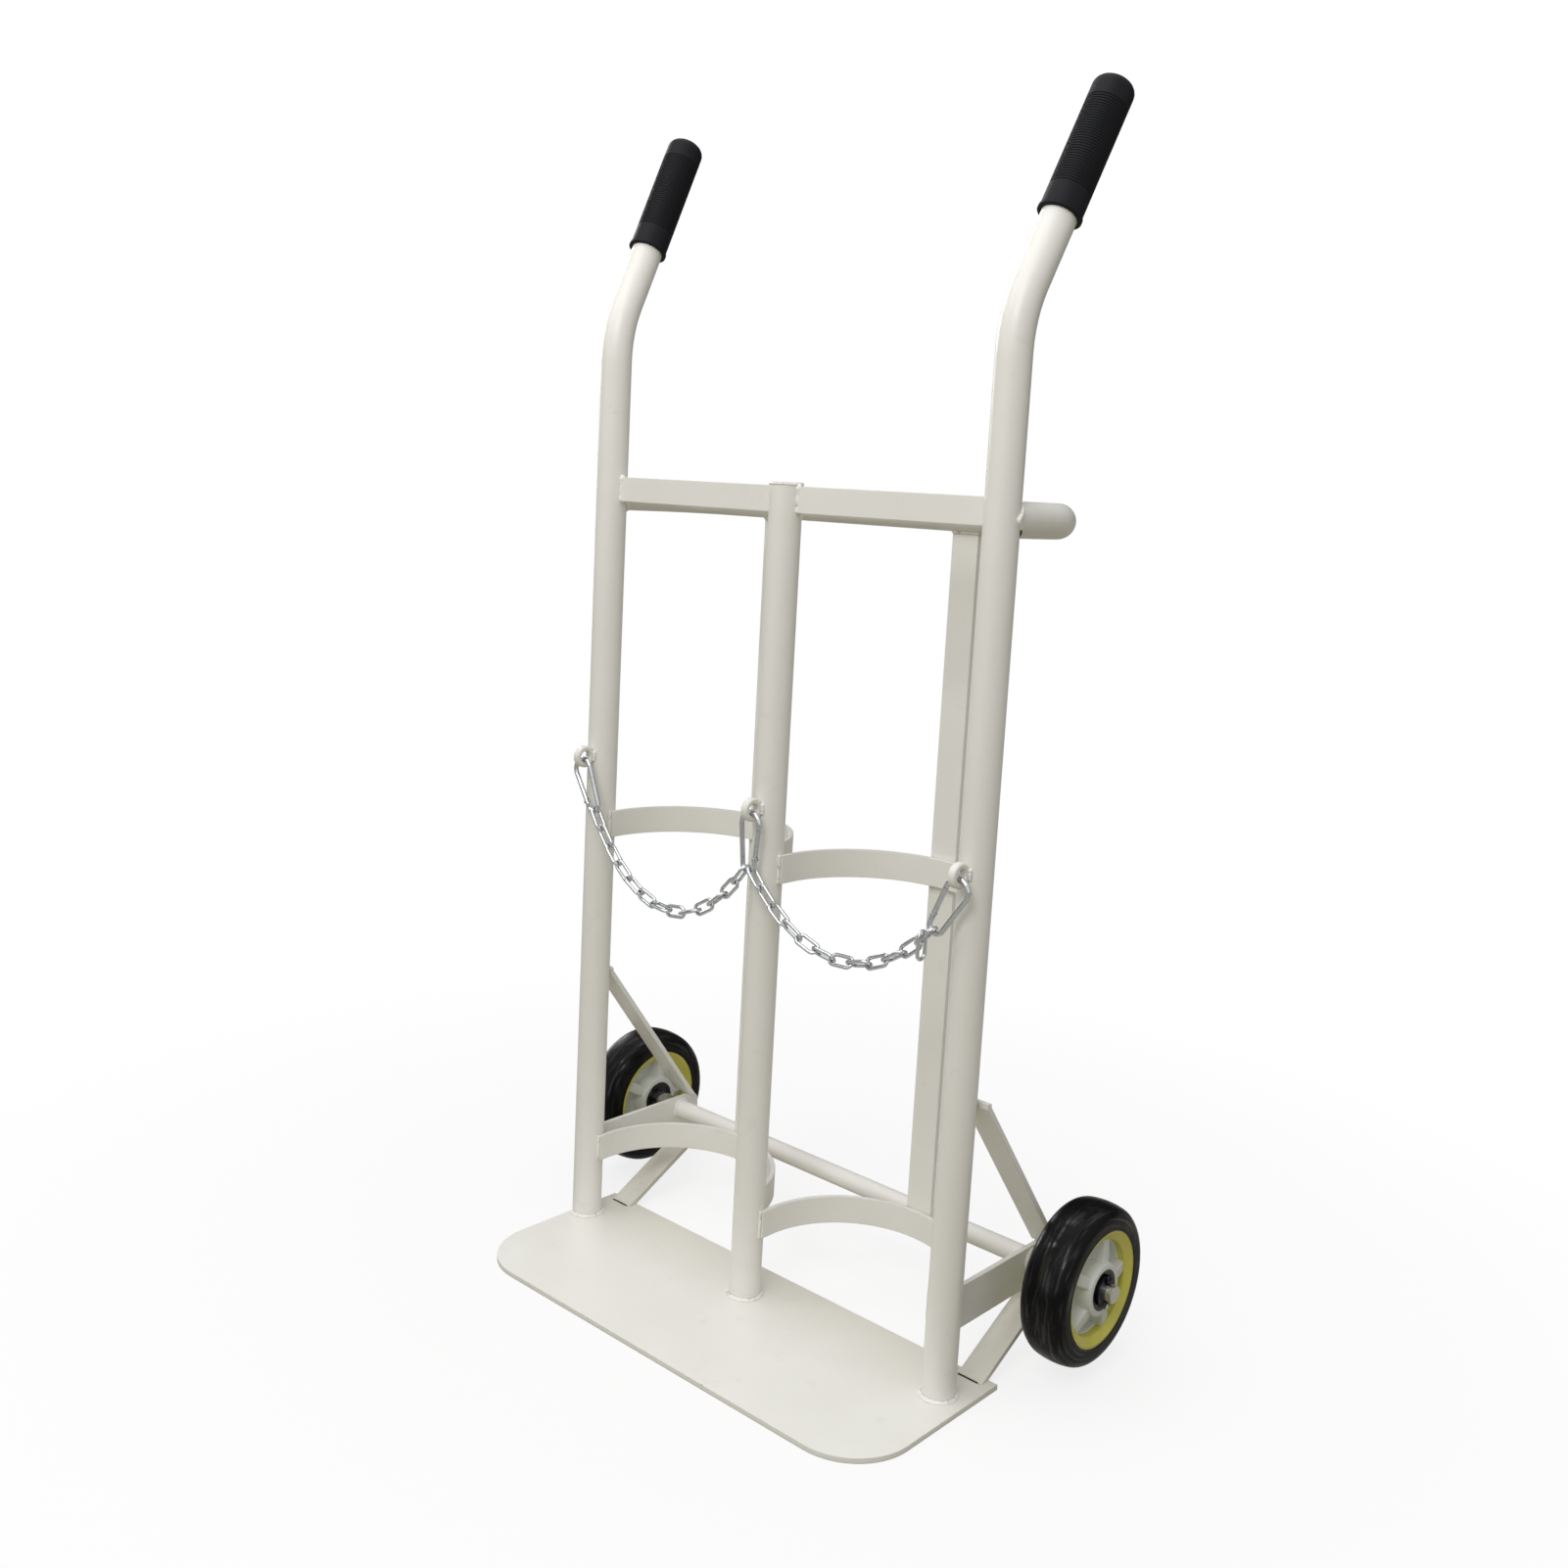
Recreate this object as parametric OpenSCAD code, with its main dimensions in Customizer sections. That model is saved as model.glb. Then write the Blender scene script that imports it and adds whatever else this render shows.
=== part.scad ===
// Twin gas cylinder trolley: a welded tube frame on a toe plate, two solid rubber wheels,
// half-ring saddles for two cylinders, and a chain on snap hooks across their fronts.
// X runs to the right, Y to the back and Z up. The trolley stands on z = 0.

/* [Posts and handles] */
// Outside diameter of the posts, handles and rear loop
tube_d = 32; // [28:1:36]
// Wall of the tubes
tube_wall = 2.5; // [1.5:0.5:4]
// Distance between neighbouring post axes
post_pitch = 248; // [236:1:300]
// Height of the flat top of the centre post
centre_post_top = 830; // [828:1:900]
// Thickness of the disc that closes the centre post
cap_t = 3; // [2:0.5:5]
// Height at which the upright turns into the handle
bend_height = 977; // [920:1:1100]
// Bend radius of the handle, on the tube's axis
bend_r = 130; // [80:5:160]
// Lean of the handle from the upright
handle_lean = 27; // [15:1:40]
// Turn of the handle's plane outwards
handle_splay = 8; // [0:1:15]
// Length of the handle from the bend's corner to the tube's end
handle_l = 224; // [215:1:300]

/* [Toe plate] */
// Width of the toe plate
plate_w = 538; // [530:1:640]
// Depth of the toe plate
plate_d = 202; // [190:1:300]
// Thickness of the toe plate
plate_t = 5; // [3:0.5:8]
// Radius of the plate's front corners
plate_corner_r = 65; // [20:1:90]
// Distance from the post axes to the plate's front edge
plate_front = 149; // [130:1:165]
// Sideways shift of the plate from the centre post
plate_shift = 9; // [0:0.5:10]
// Leg of the fillet welds at the post feet
weld_leg = 4; // [2:0.5:6]

/* [Flat bars, rails and loop] */
// Thickness of every flat bar
bar_t = 5; // [3:0.5:6]
// Height of the top rails
rail_h = 25; // [20:1:32]
// Height of the rails' middle line
rail_z = 814; // [780:1:815]
// Height of the rear loop's axis
loop_z = 808; // [760:1:820]
// Bend radius of the rear loop, on the tube's axis
loop_bend_r = 52; // [40:1:80]

/* [Saddles and straps] */
// Height of the saddle bars
saddle_h = 28; // [20:1:40]
// Height of the upper saddles' middle line
upper_saddle_z = 456; // [380:1:470]
// Height of the lower saddles' middle line
lower_saddle_z = 86; // [60:1:140]
// Length of the saddle's straight ends, from the post axes back to its half ring
saddle_back = 13; // [2:0.5:20]
// How far the saddle's outer face laps into the post's side
saddle_lap = 1; // [0.5:0.5:2]
// Width of the back straps
strap_w = 30; // [20:1:40]

/* [Axle, arms and stays] */
// Distance from the post axes back to the axle
axle_back = 140; // [130:1:170]
// Height of the axle
axle_z = 90; // [86:1:96]
// Outside diameter of the axle tube
axle_tube_d = 20; // [19.5:0.5:24]
// Diameter of the axle rod
rod_d = 17; // [12:0.5:18]
// Radial play of the rod in the tube and of the bearings on the rod
rod_play = 0.05; // [0.02:0.01:0.1]
// Height of the axle arms
arm_h = 42; // [34:1:50]
// Height of the arms' middle line
arm_z = 83; // [80:1:94]
// Length of the arms behind the axle
arm_tail = 28; // [20:1:40]
// Width of the stays
stay_w = 28; // [20:1:36]
// Height of the upper stay's end on the post
stay_top = 288; // [240:1:340]
// Straight length of the upper stay along the post
stay_flat = 4; // [2:1:30]
// Outward shift of the upper stays from the post axes
stay_out = 7; // [0:1:8]
// Distance of the lower stays from the plate's side edges
stay_side_in = 10; // [4:1:24]
// Distance of the lower stay's foot in front of the plate's rear edge
stay_foot_in = 6; // [4:1:20]
// Distance from the stays' ends to the end of the arm
stay_end_in = 8; // [4:1:14]

/* [Wheels] */
// Diameter over the tyre
wheel_d = 158; // [140:1:170]
// Width of the tyre
tyre_w = 48; // [40:1:60]
// Crown radius of the tread
crown_r = 70; // [50:1:120]
// Radius of the tyre's shoulders
shoulder_r = 13; // [8:1:18]
// Diameter of the tyre's seat on the rim
seat_d = 114; // [112:1:126]
// Distance from the trolley's middle to the wheel's middle plane
wheel_x = 308; // [300:1:340]
// Step of the rim's lip inside the tyre's side face
lip_step = 1; // [0.5:0.5:3]
// Thickness of the rim ring at its lip
lip_t = 2.5; // [1.5:0.5:4]
// Diameter of the hub's web
web_d = 94; // [90:1:106]
// Width of the hub's web and spokes
web_w = 37; // [12:1:40]
// Thickness of the web between the spokes
web_floor_t = 20; // [3:1:24]
// Number of spokes
spokes = 5; // [3:1:8]
// Width of a spoke
spoke_w = 15; // [6:1:18]
// Turn of the spokes from straight down
spoke_turn = 24; // [0:1:72]
// Length of the hub's boss
boss_l = 49; // [40:1:60]
// Wall of the boss round the bearings
boss_wall = 6; // [4:1:8]
// Outside diameter of a bearing
bearing_d = 40; // [36:1:42]
// Width of a bearing
bearing_w = 12; // [8:1:16]

/* [Washers and pins] */
// Outside diameter of the wheel washers
washer_d = 30; // [24:1:36]
// Thickness of the wheel washers
washer_t = 2.5; // [1.5:0.5:4]
// Diameter of the split pins
pin_d = 3; // [2.5:0.5:5]
// Length of the axle rod beyond the split pin
rod_end = 6; // [4:1:12]
// Side play of the wheel on the axle
wheel_play = 0.4; // [0.2:0.1:1]

/* [Grips] */
// Diameter over the grips
grip_d = 38; // [37:1:44]
// Length of the grips
grip_l = 133; // [110:1:160]
// Thickness of the grip's closed end
grip_end_t = 4; // [2:0.5:8]
// Length of the smooth band at each end of the grip
grip_band = 22; // [12:1:30]
// Spacing of the grip's ribs
rib_pitch = 2.5; // [2:0.5:8]
// Depth of the grooves between the ribs
rib_depth = 0.6; // [0.4:0.1:1.2]

/* [Chain eyes and hooks] */
// Outside diameter of the ring eyes
eye_d = 23; // [20:1:28]
// Diameter of the eye's hole
eye_hole = 12; // [11:0.5:14]
// Thickness of the ring eyes
eye_t = 8; // [5:1:10]
// How far the eye is set into the front of its post
eye_bite = 1; // [0.5:0.5:2]
// Height of the centre eye
eye_z = 516; // [500:1:600]
// Step down from each eye to the next one on its right
eye_drop = 14; // [0:1:24]
// Wire diameter of the hooks
hook_wire = 5; // [4:0.5:5.5]
// Radius of the hook's wide end, on the wire's axis
hook_top_r = 11.5; // [10.5:0.5:14]
// Radius of the hook's narrow end, on the wire's axis
hook_end_r = 7.5; // [7.5:0.5:9]
// Distance between the centres of the hook's two ends
hook_core = 40; // [36:1:60]
// Lean of the left hook towards its chain
left_hook_lean = 27; // [10:1:35]
// Lean of the right hook towards its chain
right_hook_lean = 29; // [10:1:35]
// Play of a hook's wire in its eye
hook_play = 0.3; // [0.2:0.1:0.6]
// Diameter of the rivet in the hook's gate
rivet_d = 2; // [1.5:0.1:2.2]

/* [Chain] */
// Wire diameter of the chain
chain_wire = 3.5; // [2.5:0.5:3.5]
// Inside width of a link
link_w = 7; // [7:0.5:9]
// Length that a link adds to the chain
link_pitch = 21.7; // [21.2:0.1:24]
// Links from the left hook to the centre hook
left_links = 13; // [13:1:15]
// Links from the centre hook to the right hook
right_links = 12; // [12:1:14]
// Play between links, and between a link and a hook
link_play = 0.3; // [0.2:0.1:0.4]

/* [Hidden] */
$fn = 64;
paint = "#e6e3d8";
zinc = "#b9bcc0";
rubber = "#1b1c20";

// Posts
tube_r = tube_d / 2;
bore_r = tube_r - tube_wall;
wheel_r = wheel_d / 2;
post_y = (plate_front - axle_back - wheel_r) / 2;
bend_tangent = bend_r * tan(handle_lean / 2);
bend_start = bend_height - bend_tangent;
grip_start = handle_l + grip_end_t - grip_l;
// A straight length laps over the end of a bend that is thinner by a skin, so the two make one solid
bend_lap = 0.3;
bend_skin = 0.02;

// Plate
plate_left = plate_shift - plate_w / 2;
plate_y = post_y - plate_front;
plate_rear = plate_y + plate_d;

// Saddles, straps and rear loop lie one behind the other
bay_x = post_pitch / 2;
saddle_r = bay_x - tube_r + saddle_lap;
saddle_y = post_y + saddle_back;
strap_y = saddle_y + saddle_r;
loop_y = strap_y + bar_t / 2;
strap_foot = lower_saddle_z - saddle_h / 2;

// Axle, arms and stays
axle_y = post_y + axle_back;
axle_tube_r = axle_tube_d / 2;
rod_r = rod_d / 2;
rod_bore_r = rod_r + rod_play;
arm_end = axle_y + arm_tail;
arm_top = arm_z + arm_h / 2;
arm_foot = arm_z - arm_h / 2;
tube_stub = 4;
tube_end_x = post_pitch + bar_t / 2 + tube_stub;
spacer_end_x = wheel_x - boss_l / 2 - wheel_play;
// A lower stay keeps its distance from the plate's side, as far as it still reaches the arm
stay_reach = (stay_w - bar_t) / 2;
function lower_stay_x(side) =
    let (wanted = plate_shift + side * (plate_w / 2 - stay_side_in - stay_w / 2))
    max(side * post_pitch - stay_reach, min(side * post_pitch + stay_reach, wanted));
washer_x = wheel_x + boss_l / 2 + wheel_play;
pin_play = 0.1;
pin_x = washer_x + washer_t + pin_play + pin_d / 2;
rod_half = pin_x + pin_d / 2 + rod_end;

// Wheel
seat_r = seat_d / 2;
lip_x = tyre_w / 2 - lip_step;
boss_r = bearing_d / 2 + boss_wall;
spoke_ring_t = 5;
// The tyre's shoulders touch its side faces and run into the crown without an edge
shoulder_x = tyre_w / 2 - shoulder_r;
crown_centre = wheel_r - crown_r;
shoulder_y = crown_centre + sqrt(pow(crown_r - shoulder_r, 2) - pow(shoulder_x, 2));
tread_x = shoulder_x * crown_r / (crown_r - shoulder_r);
bearing_groove = 1;

// Eyes and hooks, in one upright plane in front of the posts
eye_r = eye_d / 2;
eye_y = post_y - tube_r - eye_r + eye_bite;
eye_bevel = 1.2;
// The wire bends down inside the eye: its sag where the straight part of the hole ends
seat_bend_r = hook_top_r - hook_wire / 2;
seat_sag = seat_bend_r - sqrt(pow(seat_bend_r, 2) - pow(eye_t / 2 - eye_bevel, 2));
seat_drop = (eye_hole - hook_wire) / 2 - hook_play - seat_sag;
hook_slant = asin((hook_top_r - hook_end_r) / hook_core);
gate_line = hook_core * cos(hook_slant);
gate_pivot = 7;
gate_nose = 3;
gate_gap = 0.5;
tongue_t = 1.8;
tongue_w = 4.6;
cheek_gap = 0.3;
rivet_play = 0.05;
rivet_head = 0.7;
hook_leans = [left_hook_lean, 0, -right_hook_lean];
gate_sides = [-1, 1, -1];

// Chain links: the distance from a joint to the axis of the wire on either side of it
link_lap = (chain_wire + link_play) / 2;
link_half_w = (link_w + chain_wire) / 2;
link_l = link_pitch + 2 * link_lap;
link_seat = hook_end_r - hook_wire / 2 - chain_wire / 2 - link_play;
centre_pull = 41;

function hook_seat(i) = [(i - 1) * post_pitch, eye_y, eye_z - (i - 1) * eye_drop - seat_drop];
function hook_end(i) = hook_seat(i) - [0, 0, hook_top_r]
    + hook_core * [sin(hook_leans[i]), 0, -cos(hook_leans[i])];
function pull_point(i, turn) = hook_end(i) + link_seat * [sin(turn), 0, -cos(turn)];

left_start = pull_point(0, left_hook_lean);
left_stop = pull_point(1, -centre_pull);
right_start = pull_point(1, centre_pull);
right_stop = pull_point(2, -right_hook_lean);

// A hanging chain of equal links: the tangent of the slope grows by one step from link to link.
// The first tangent and the step are found by halving, so that the chain ends on its hook.
function add_up(list) = list * [for (item = list) 1];
function slopes(first, step, n) = [for (i = [0 : n - 1]) atan(first + step * i)];
function run_of(s) = link_pitch * add_up([for (a = s) cos(a)]) + link_lap * (cos(s[0]) + cos(s[len(s) - 1]));
function rise_of(s) = link_pitch * add_up([for (a = s) sin(a)]) + link_lap * (sin(s[0]) + sin(s[len(s) - 1]));
function first_for(step, n, rise, low = -20, high = 20, turns = 40) =
    let (middle = (low + high) / 2)
    turns == 0 ? middle
    : rise_of(slopes(middle, step, n)) < rise ? first_for(step, n, rise, middle, high, turns - 1)
    : first_for(step, n, rise, low, middle, turns - 1);
function step_for(n, run, rise, low = 0, high = 3, turns = 40) =
    let (middle = (low + high) / 2)
    turns == 0 ? middle
    : run_of(slopes(first_for(middle, n, rise), middle, n)) > run
        ? step_for(n, run, rise, middle, high, turns - 1)
        : step_for(n, run, rise, low, middle, turns - 1);
function hang(n, from, to) =
    let (run = to[0] - from[0], rise = to[2] - from[2], step = step_for(n, run, rise))
    slopes(first_for(step, n, rise), step, n);
function along(a) = [cos(a), 0, sin(a)];
// Start of link i: the pitches before it, and the lap at the first link's end
function link_start(s, from, i, done = 0, at = [0, 0, 0]) =
    done == i ? from + link_lap * (along(s[0]) - along(s[i])) + at
    : link_start(s, from, i, done + 1, at + link_pitch * along(s[done]));

left_slopes = hang(left_links, left_start, left_stop);
right_slopes = hang(right_links, right_start, right_stop);

// Frame

module plate_outline() {
    translate([plate_left, plate_y])
        difference() {
            square([plate_w, plate_d]);
            for (side = [0, 1])
                translate([side * plate_w, 0])
                    mirror([side, 0])
                        difference() {
                            translate([-1, -1])
                                square(plate_corner_r + 1);
                            translate([plate_corner_r, plate_corner_r])
                                circle(plate_corner_r, $fn = 128);
                        }
        }
}

module toe_plate() {
    color(paint)
        linear_extrude(plate_t)
            plate_outline();
}

// Section of the frame's tube, its wall thinned by a skin on both faces
module tube_section(skin = 0) {
    difference() {
        circle(tube_r - skin);
        circle(bore_r + skin);
    }
}

// One tube: the straight foot, the bend and the handle
module upright(side) {
    color(paint)
        translate([side * post_pitch, post_y, 0])
            rotate([0, 0, -side * handle_splay]) {
                translate([0, 0, plate_t])
                    linear_extrude(bend_start - plate_t + bend_lap)
                        tube_section();
                translate([0, bend_r, bend_start])
                    rotate([90, 0, -90])
                        rotate_extrude(angle = handle_lean)
                            translate([bend_r, 0])
                                tube_section(bend_skin);
                translate([0, 0, bend_height])
                    rotate([-handle_lean, 0, 0])
                        translate([0, 0, bend_tangent - bend_lap])
                            linear_extrude(handle_l - bend_tangent + bend_lap)
                                tube_section();
            }
}

module centre_post() {
    color(paint)
        translate([0, post_y, plate_t])
            linear_extrude(centre_post_top - cap_t - plate_t)
                tube_section();
}

module centre_post_cap() {
    color(paint)
        translate([0, post_y, centre_post_top - cap_t])
            cylinder(r = tube_r, h = cap_t);
}

// Straight outside of all three posts, to fit other pieces against
module post_rods(from_z, to_z) {
    for (x = [-post_pitch, 0, post_pitch])
        translate([x, post_y, from_z])
            cylinder(r = tube_r, h = to_z - from_z);
}

// Fillets round the post feet, stopped short of the plate's side edges
module foot_welds() {
    color(paint)
        intersection() {
            for (x = [-post_pitch, 0, post_pitch])
                translate([x, post_y, plate_t])
                    rotate_extrude()
                        polygon([[tube_r, 0], [tube_r + weld_leg, 0], [tube_r, weld_leg]]);
            translate([plate_left + weld_leg / 2, plate_y, plate_t])
                cube([plate_w - weld_leg, plate_d, weld_leg]);
        }
}

module top_rail(side) {
    color(paint)
        difference() {
            translate([side * bay_x, post_y, rail_z])
                cube([post_pitch, bar_t, rail_h], center = true);
            post_rods(rail_z - rail_h, rail_z + rail_h);
        }
}

// A tube bent to a U: two legs from the backs of the uprights, two bends and the rear run
module rear_loop() {
    leg_l = loop_y - post_y - loop_bend_r;
    run_l = post_pitch - loop_bend_r;
    color(paint)
        difference() {
            union() {
                for (side = [0, 1])
                    mirror([side, 0, 0]) {
                        translate([post_pitch, post_y, loop_z])
                            rotate([-90, 0, 0])
                                linear_extrude(leg_l)
                                    tube_section();
                        translate([run_l, loop_y - loop_bend_r, loop_z])
                            rotate_extrude(angle = 90)
                                translate([loop_bend_r, 0])
                                    tube_section();
                    }
                translate([-run_l, loop_y, loop_z])
                    rotate([0, 90, 0])
                        linear_extrude(2 * run_l)
                            tube_section();
            }
            post_rods(loop_z - tube_d, loop_z + tube_d);
        }
}

// A half ring from post to post, its outer face lapped into the posts' inner sides
module saddle(side, z) {
    color(paint)
        translate([0, 0, z - saddle_h / 2])
            difference() {
                linear_extrude(saddle_h)
                    translate([side * bay_x, saddle_y])
                        difference() {
                            union() {
                                circle(saddle_r, $fn = 160);
                                translate([-saddle_r, -saddle_back])
                                    square([2 * saddle_r, saddle_back]);
                            }
                            circle(saddle_r - bar_t, $fn = 160);
                            translate([bar_t - saddle_r, -2 * saddle_r])
                                square([2 * (saddle_r - bar_t), 2 * saddle_r]);
                            translate([-2 * saddle_r, -saddle_back - 2 * saddle_r])
                                square([4 * saddle_r, 2 * saddle_r]);
                        }
                post_rods(-1, saddle_h + 1);
            }
}

module back_strap(side) {
    color(paint)
        difference() {
            translate([side * bay_x - strap_w / 2, strap_y, strap_foot])
                cube([strap_w, bar_t, loop_z - strap_foot]);
            translate([side * bay_x - strap_w, loop_y, loop_z])
                rotate([0, 90, 0])
                    cylinder(r = tube_r, h = 2 * strap_w);
        }
}

module axle_arm(side) {
    corner = arm_h / 4;
    color(paint)
        difference() {
            translate([side * post_pitch - bar_t / 2, 0, 0])
                rotate([90, 0, 90])
                    linear_extrude(bar_t)
                        union() {
                            translate([post_y, arm_foot])
                                square([arm_end - corner - post_y, arm_h]);
                            translate([post_y, arm_foot + corner])
                                square([arm_end - post_y, arm_h - 2 * corner]);
                            for (z = [arm_foot + corner, arm_top - corner])
                                translate([arm_end - corner, z])
                                    circle(corner);
                        }
            post_rods(arm_foot - 1, arm_top + 1);
            translate([side * post_pitch - bar_t, axle_y, axle_z])
                rotate([0, 90, 0])
                    cylinder(r = axle_tube_r, h = 2 * bar_t);
        }
}

// A flat bar along a line in the YZ plane, rounded where it bends
module bent_bar(x, line) {
    translate([x - stay_w / 2, 0, 0])
        rotate([90, 0, 90])
            linear_extrude(stay_w)
                for (i = [0 : len(line) - 2]) {
                    step = line[i + 1] - line[i];
                    translate(line[i])
                        rotate(atan2(step[1], step[0]))
                            translate([0, -bar_t / 2])
                                square([norm(step), bar_t]);
                    if (i > 0)
                        translate(line[i])
                            circle(d = bar_t);
                }
}

module upper_stay(side) {
    back = post_y + tube_r + bar_t / 2;
    color(paint)
        difference() {
            bent_bar(side * (post_pitch + stay_out), [
                [back, stay_top],
                [back, stay_top - stay_flat],
                [arm_end - stay_end_in, arm_top - bar_t]
            ]);
            translate([side * post_pitch - 2 * stay_w, post_y, arm_top - 2 * bar_t])
                cube([4 * stay_w, 2 * axle_back, 2 * bar_t]);
        }
}

module lower_stay(side) {
    color(paint)
        intersection() {
            bent_bar(lower_stay_x(side), [
                [plate_rear - stay_foot_in - 2 * bar_t, plate_t - bar_t],
                [arm_end - stay_end_in, arm_foot + bar_t]
            ]);
            translate([side * post_pitch - 2 * stay_w, post_y, plate_t])
                cube([4 * stay_w, 2 * axle_back, arm_foot - plate_t]);
        }
}

module axle_tube() {
    color(paint)
        translate([-tube_end_x, axle_y, axle_z])
            rotate([0, 90, 0])
                difference() {
                    cylinder(r = axle_tube_r, h = 2 * tube_end_x);
                    cylinder(r = rod_bore_r, h = 2 * tube_end_x);
                }
}

// A sleeve on the rod that keeps the wheel off the arm
module spacer(side) {
    color("#8d8f92")
        mirror([side < 0 ? 1 : 0, 0, 0])
            translate([tube_end_x, axle_y, axle_z])
                rotate([0, 90, 0])
                    difference() {
                        cylinder(r = axle_tube_r, h = spacer_end_x - tube_end_x);
                        cylinder(r = rod_bore_r, h = spacer_end_x - tube_end_x);
                    }
}

module axle_rod() {
    color("#c9c6b9")
        difference() {
            translate([-rod_half, axle_y, axle_z])
                rotate([0, 90, 0])
                    cylinder(r = rod_r, h = 2 * rod_half);
            for (side = [-1, 1])
                translate([side * pin_x, axle_y, axle_z])
                    cylinder(d = pin_d, h = 2 * rod_d, center = true);
        }
}

// The grip as a turned section: a lip at its foot, a row of ribs between smooth bands, and a round end
module grip(side) {
    outer = grip_d / 2;
    ribs = floor((grip_l - 2 * grip_band) / rib_pitch);
    first = (grip_l - ribs * rib_pitch) / 2;
    grip_play = 0.05;
    lip = 1;
    steps = 6;
    // The round of the end leaves half the wall over the tube's edge
    half_wall = (outer - tube_r - grip_play) / 2;
    dome = min(grip_band - lip, half_wall + grip_end_t + sqrt(2 * half_wall * grip_end_t));
    groove = [for (i = [0 : ribs - 1]) each [
        [outer, first + (i + 0.15) * rib_pitch],
        [outer - rib_depth, first + (i + 0.35) * rib_pitch],
        [outer - rib_depth, first + (i + 0.65) * rib_pitch],
        [outer, first + (i + 0.85) * rib_pitch]
    ]];
    section = concat(
        [[tube_r + grip_play, 0], [outer + lip / 2, 0], [outer + lip, lip / 2]],
        [[outer + lip, 3 * lip], [outer, 4 * lip]],
        groove,
        [for (i = [0 : steps])
            [outer - dome * (1 - cos(90 * i / steps)), grip_l - dome * (1 - sin(90 * i / steps))]],
        [[0, grip_l], [0, grip_l - grip_end_t], [tube_r + grip_play, grip_l - grip_end_t]]
    );
    color(rubber)
        translate([side * post_pitch, post_y, 0])
            rotate([0, 0, -side * handle_splay])
                translate([0, 0, bend_height])
                    rotate([-handle_lean, 0, 0])
                        translate([0, 0, grip_start])
                            rotate_extrude()
                                polygon(section);
}

// A stout ring with bevelled edges, set into the front of its post
module chain_eye(i) {
    bevel = eye_bevel;
    color(paint)
        difference() {
            translate([hook_seat(i)[0], eye_y, hook_seat(i)[2] + seat_drop])
                rotate([0, 90, 0])
                    rotate_extrude()
                        polygon([
                            [eye_hole / 2, bevel - eye_t / 2], [eye_hole / 2 + bevel, -eye_t / 2],
                            [eye_r - bevel, -eye_t / 2], [eye_r, bevel - eye_t / 2],
                            [eye_r, eye_t / 2 - bevel], [eye_r - bevel, eye_t / 2],
                            [eye_hole / 2 + bevel, eye_t / 2], [eye_hole / 2, eye_t / 2 - bevel]
                        ]);
            post_rods(eye_z - 2 * post_pitch, eye_z + post_pitch);
        }
}

// Wheels, drawn on the right with their outer side to +X and mirrored to the left

module at_wheel(side) {
    mirror([side < 0 ? 1 : 0, 0, 0])
        translate([wheel_x, axle_y, axle_z])
            rotate([0, 90, 0])
                children();
}

// A solid tyre: flat sides, round shoulders and a slightly crowned tread
module tyre(side) {
    color(rubber)
        at_wheel(side)
            rotate_extrude($fn = 128)
                intersection() {
                    union() {
                        intersection() {
                            translate([crown_centre, 0])
                                circle(crown_r, $fn = 160);
                            translate([0, -tread_x])
                                square([wheel_r, 2 * tread_x]);
                        }
                        for (z = [-shoulder_x, shoulder_x])
                            translate([shoulder_y, z])
                                circle(shoulder_r);
                        translate([0, -tyre_w / 2])
                            square([shoulder_y, tyre_w]);
                    }
                    translate([seat_r, -tyre_w])
                        square([wheel_r, 2 * tyre_w]);
                }
}

// A ring whose inner wall flares from the hub's web to a thin lip at each side
module rim(side) {
    color("#b9b23c")
        at_wheel(side)
            rotate_extrude($fn = 128)
                polygon([
                    [seat_r, -lip_x], [seat_r, lip_x], [seat_r - lip_t, lip_x], [web_d / 2, web_w / 2],
                    [web_d / 2, -web_w / 2], [seat_r - lip_t, -lip_x]
                ]);
}

// Space between two spokes, as seen along the axle
module spoke_gap() {
    difference() {
        circle(web_d / 2 - spoke_ring_t);
        circle(boss_r + 1);
        for (turn = [0, 360 / spokes])
            rotate(turn)
                translate([0, -spoke_w / 2])
                    square([web_d, spoke_w]);
        if (spokes > 2)
            rotate(360 / spokes)
                translate([-web_d, 0])
                    square([2 * web_d, web_d]);
        translate([-web_d, -2 * web_d])
            square([2 * web_d, 2 * web_d]);
    }
}

module hub(side) {
    color("#d8d9d4")
        at_wheel(side)
            difference() {
                union() {
                    cylinder(d = web_d, h = web_w, center = true, $fn = 128);
                    cylinder(r = boss_r, h = boss_l, center = true);
                }
                cylinder(r = rod_r + 2, h = 2 * boss_l, center = true);
                for (end = [-1, 1])
                    translate([0, 0, end * boss_l / 2])
                        cylinder(d = bearing_d, h = 2 * bearing_w, center = true);
                for (i = [0 : spokes - 1])
                    rotate(spoke_turn + i * 360 / spokes)
                        for (z = [web_floor_t / 2, -web_floor_t / 2 - boss_l])
                            translate([0, 0, z])
                                linear_extrude(boss_l)
                                    spoke_gap();
            }
}

// A sealed ball bearing as one ring, its shield set back between the two races
module bearing(side, end) {
    race = (bearing_d - rod_d) / 6;
    color("#3a3c40")
        at_wheel(side)
            translate([0, 0, end * (boss_l - bearing_w) / 2])
                rotate_extrude()
                    difference() {
                        translate([rod_bore_r, -bearing_w / 2])
                            square([bearing_d / 2 - rod_bore_r, bearing_w]);
                        for (z = [-1, 1])
                            translate([rod_bore_r + race, z * bearing_w / 2 - bearing_groove])
                                square([bearing_d / 2 - rod_bore_r - 2 * race, 2 * bearing_groove]);
                    }
}

module washer(side) {
    color("#3a3c40")
        mirror([side < 0 ? 1 : 0, 0, 0])
            translate([washer_x, axle_y, axle_z])
                rotate([0, 90, 0])
                    difference() {
                        cylinder(d = washer_d, h = washer_t);
                        cylinder(r = rod_bore_r, h = washer_t);
                    }
}

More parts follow.
